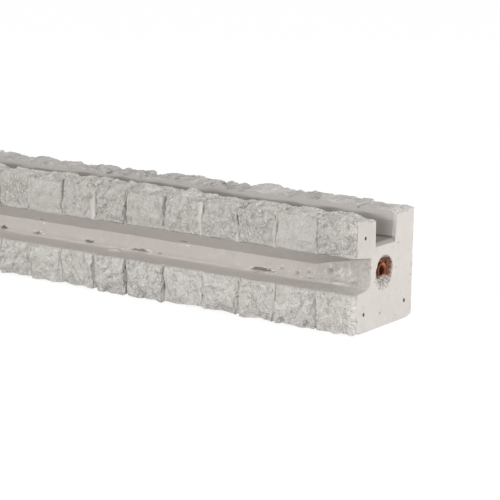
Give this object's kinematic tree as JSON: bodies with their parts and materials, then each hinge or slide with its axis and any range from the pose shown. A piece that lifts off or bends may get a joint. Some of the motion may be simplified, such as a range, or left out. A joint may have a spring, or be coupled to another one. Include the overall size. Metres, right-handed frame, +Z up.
{
  "type": "concrete fence post",
  "caption": "Rock-faced precast concrete corner fence post lying on its bed face, with panel slots in two adjoining faces and a threaded socket in one end.",
  "frame": {"origin": "centre of the bed face, on the floor", "axes": "+X along the post to the end with the socket, +Y away from the slotted front face, +Z up through the slotted top face"},
  "size_m": [1.8, 0.122, 0.1205],
  "materials": {
    "concrete": "matte",
    "rusty_steel": "matte",
    "wire_steel": "matte"
  },
  "bodies": {
    "root": {"concrete_body": "concrete", "end_socket": "rusty_steel", "wire_front_top": "wire_steel", "wire_front_bottom": "wire_steel", "wire_back_top": "wire_steel", "wire_back_bottom": "wire_steel"}
  },
  "joints": []
}
